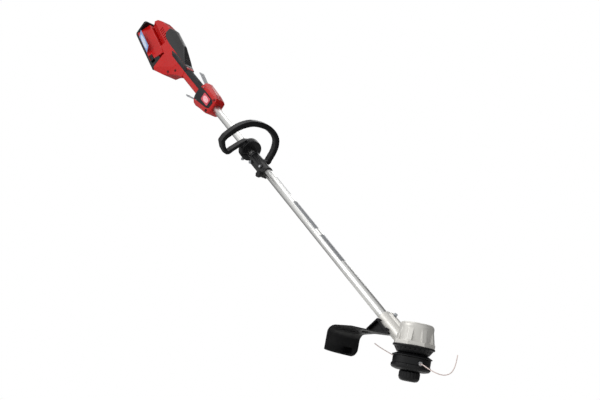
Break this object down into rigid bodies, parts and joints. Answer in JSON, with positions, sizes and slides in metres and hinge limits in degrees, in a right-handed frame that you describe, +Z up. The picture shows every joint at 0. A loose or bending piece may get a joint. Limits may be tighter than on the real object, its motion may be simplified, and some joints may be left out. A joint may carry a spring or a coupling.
{
  "type": "string trimmer",
  "caption": "Battery string trimmer with a rear handle, loop front handle, two-piece shaft, angled motor head, guard and bump-feed line head.",
  "frame": {"origin": "centre of the bump knob's ground face", "axes": "+Z up along the cutting head's spin axis, +X forward from the operator towards the head, +Y to the operator's left"},
  "size_m": [1.5722, 0.2155, 1.1006],
  "materials": {
    "red_plastic": "moulded, gloss",
    "black_plastic": "moulded, fine texture",
    "black_gloss": "moulded, gloss",
    "grip_rubber": "soft overmould",
    "badge": "printed label",
    "label": "printed label",
    "film_label": "printed film",
    "steel": "zinc plated",
    "silver_tube": "satin anodised",
    "cast_silver": "silver painted casting",
    "grey_lever": "moulded, satin",
    "pcb": "solder mask",
    "contacts": "bright",
    "cell_wrap": "film wrap",
    "cable_jacket": "extruded jacket",
    "coupler_black": "powder coated casting",
    "copper_wire": "enamelled copper winding",
    "laminations": "stacked electrical steel",
    "nylon_line": "extruded nylon",
    "bright_steel": "polished"
  },
  "bodies": {
    "handle_frame": {"housing_right": "red_plastic", "housing_left": "red_plastic", "handle_right": "red_plastic", "handle_left": "red_plastic", "top_cover": "black_gloss", "rubber_grip": "grip_rubber", "hub_panels": "grip_rubber", "badges": "badge", "handle_screws": "steel", "controller_board": "pcb", "tool_terminals": "contacts", "switch_block": "black_plastic", "lever_pins": "steel", "trigger_spring": "steel", "lockout_spring": "steel", "upper_tube": "silver_tube", "upper_cable": "cable_jacket", "connector_socket": "black_plastic", "contact_pins": "contacts", "coupler": "coupler_black", "coupler_screws": "steel", "release_spring": "steel"},
    "battery": {"battery_base": "black_plastic", "battery_shell": "red_plastic", "battery_cells": "cell_wrap", "battery_labels": "label"},
    "latch_right": {"latch_right": "black_plastic"},
    "latch_left": {"latch_left": "black_plastic"},
    "trigger": {"trigger": "grey_lever"},
    "lockout_lever": {"lockout_lever": "grey_lever"},
    "front_handle": {"front_handle": "black_plastic", "handle_cap": "black_plastic", "handle_bolts": "steel"},
    "clamp_knob": {"clamp_knob": "black_plastic"},
    "release_button": {"release_button": "bright_steel"},
    "attachment": {"lower_tube": "silver_tube", "lower_cable": "cable_jacket", "connector_plug": "black_plastic", "shaft_labels": "film_label", "motor_housing": "cast_silver", "neck_screw": "steel", "motor_base": "black_plastic", "stator": "laminations", "windings": "copper_wire", "bearings": "bright_steel", "guard": "black_plastic", "guard_screws": "steel", "guard_strap": "bright_steel", "line_cutter": "bright_steel"},
    "head": {"rotor": "laminations", "spindle": "bright_steel", "dust_flange": "black_plastic", "spool_housing": "black_plastic", "spool_cap": "black_plastic", "eyelets": "bright_steel", "line_a": "nylon_line", "line_b": "nylon_line"},
    "spool": {"spool": "black_plastic"},
    "bump_knob": {"bump_knob": "black_plastic", "bump_spring": "steel"}
  },
  "joints": [
    {"name": "battery_slide", "type": "slide", "parent": "handle_frame", "child": "battery", "axis": [-0.7254, 0, 0.6884], "range_m": [0, 0.12]},
    {"name": "latch_right_press", "type": "slide", "parent": "battery", "child": "latch_right", "axis": [0, 1, 0], "range_m": [0, 0.003], "stiffness_N_per_m": 900, "springref_m": -0.002},
    {"name": "latch_left_press", "type": "slide", "parent": "battery", "child": "latch_left", "axis": [0, -1, 0], "range_m": [0, 0.003], "stiffness_N_per_m": 900, "springref_m": -0.002},
    {"name": "trigger_squeeze", "type": "hinge", "parent": "handle_frame", "child": "trigger", "pos_m": [-1.05196, 0, 0.77285], "axis": [0, 1, 0], "range_deg": [0, 15], "stiffness_Nm_per_rad": 0.6, "springref_deg": -8.59, "deforming": ["trigger_spring"]},
    {"name": "lockout_press", "type": "hinge", "parent": "handle_frame", "child": "lockout_lever", "pos_m": [-1.02385, 0, 0.81299], "axis": [0, -1, 0], "range_deg": [0, 10], "stiffness_Nm_per_rad": 0.4, "springref_deg": -8.59, "deforming": ["lockout_spring"]},
    {"name": "front_handle_slide", "type": "slide", "parent": "handle_frame", "child": "front_handle", "axis": [-0.8192, 0, 0.5736], "range_m": [0, 0.2]},
    {"name": "clamp_knob_turn", "type": "hinge", "parent": "handle_frame", "child": "clamp_knob", "pos_m": [-0.66589, -0.015, 0.51351], "axis": [0, -1, 0], "range_deg": [0, 720]},
    {"name": "release_button_press", "type": "slide", "parent": "handle_frame", "child": "release_button", "axis": [0, 1, 0], "range_m": [0, 0.0025], "stiffness_N_per_m": 700, "springref_m": -0.002, "deforming": ["release_spring"]},
    {"name": "attachment_slide", "type": "slide", "parent": "handle_frame", "child": "attachment", "axis": [0.8192, 0, -0.5736], "range_m": [0, 0.06]},
    {"name": "head_spin", "type": "hinge", "parent": "attachment", "child": "head", "pos_m": [0, 0, 0.09], "axis": [0, 0, 1], "continuous": true},
    {"name": "spool_turn", "type": "hinge", "parent": "head", "child": "spool", "pos_m": [0, 0, 0.041], "axis": [0, 0, 1], "continuous": true},
    {"name": "bump_press", "type": "slide", "parent": "spool", "child": "bump_knob", "axis": [0, 0, 1], "range_m": [0, 0.006], "stiffness_N_per_m": 1200, "springref_m": -0.006, "deforming": ["bump_spring"]}
  ]
}
